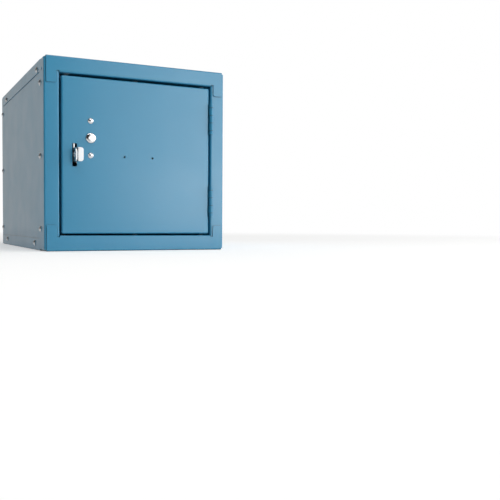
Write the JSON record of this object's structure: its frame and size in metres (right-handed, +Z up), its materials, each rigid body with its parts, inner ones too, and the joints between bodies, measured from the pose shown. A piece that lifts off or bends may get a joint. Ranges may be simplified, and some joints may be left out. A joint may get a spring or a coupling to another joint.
{
  "type": "cube locker",
  "caption": "Cube locker of folded sheet steel with a hinged front door, a slot for its padlock strike, bolted side panels and a raised floor.",
  "frame": {"origin": "middle of the footprint, on the surface the locker stands on", "axes": "+Z up, the door faces -Y, the hinges are on the +X side"},
  "size_m": [0.31, 0.4706, 0.3048],
  "materials": {
    "blue_paint": "satin-gloss baked enamel, slight orange peel",
    "zinc_plate": "bright zinc plating, faint streaks",
    "bright_chrome": "polished bright plating",
    "white_nylon": "satin moulded nylon"
  },
  "bodies": {
    "cabinet": {"frame_top_rail": "blue_paint", "frame_bottom_rail": "blue_paint", "frame_latch_stile": "blue_paint", "frame_hinge_stile": "blue_paint", "side_panel_left": "blue_paint", "side_panel_right": "blue_paint", "top_panel": "blue_paint", "bottom_panel": "blue_paint", "floor_panel": "blue_paint", "back_panel": "blue_paint", "hinge_frame_leaf_upper": "blue_paint", "hinge_frame_leaf_lower": "blue_paint", "hinge_pin_upper": "blue_paint", "hinge_pin_lower": "blue_paint", "strike_bracket": "zinc_plate", "door_bumper_upper": "white_nylon", "door_bumper_lower": "white_nylon", "bolt_left_front_1": "zinc_plate", "bolt_left_front_2": "zinc_plate", "bolt_left_front_3": "zinc_plate", "bolt_left_rear_1": "zinc_plate", "bolt_left_rear_2": "zinc_plate", "bolt_left_rear_3": "zinc_plate", "bolt_left_top_1": "zinc_plate", "bolt_left_top_2": "zinc_plate", "bolt_left_bottom_1": "zinc_plate", "bolt_left_bottom_2": "zinc_plate", "bolt_right_front_1": "zinc_plate", "bolt_right_front_2": "zinc_plate", "bolt_right_front_3": "zinc_plate", "bolt_right_rear_1": "zinc_plate", "bolt_right_rear_2": "zinc_plate", "bolt_right_rear_3": "zinc_plate", "bolt_right_top_1": "zinc_plate", "bolt_right_top_2": "zinc_plate", "bolt_right_bottom_1": "zinc_plate", "bolt_right_bottom_2": "zinc_plate", "bolt_bottom_rail_1": "zinc_plate", "bolt_bottom_rail_2": "zinc_plate", "bolt_bottom_rail_3": "zinc_plate", "bolt_top_rail_1": "zinc_plate", "bolt_top_rail_2": "zinc_plate"},
    "door": {"door_panel": "blue_paint", "latch_plate": "zinc_plate", "lock_hole_plug": "bright_chrome", "latch_rivet_upper": "bright_chrome", "latch_rivet_lower": "bright_chrome", "hinge_door_leaf_upper": "blue_paint", "hinge_door_leaf_lower": "blue_paint"}
  },
  "joints": [
    {"name": "door_hinge", "type": "hinge", "parent": "cabinet", "child": "door", "pos_m": [0.1285, -0.22385, 0.1532], "axis": [0, 0, 1], "range_deg": [0, 175]}
  ]
}
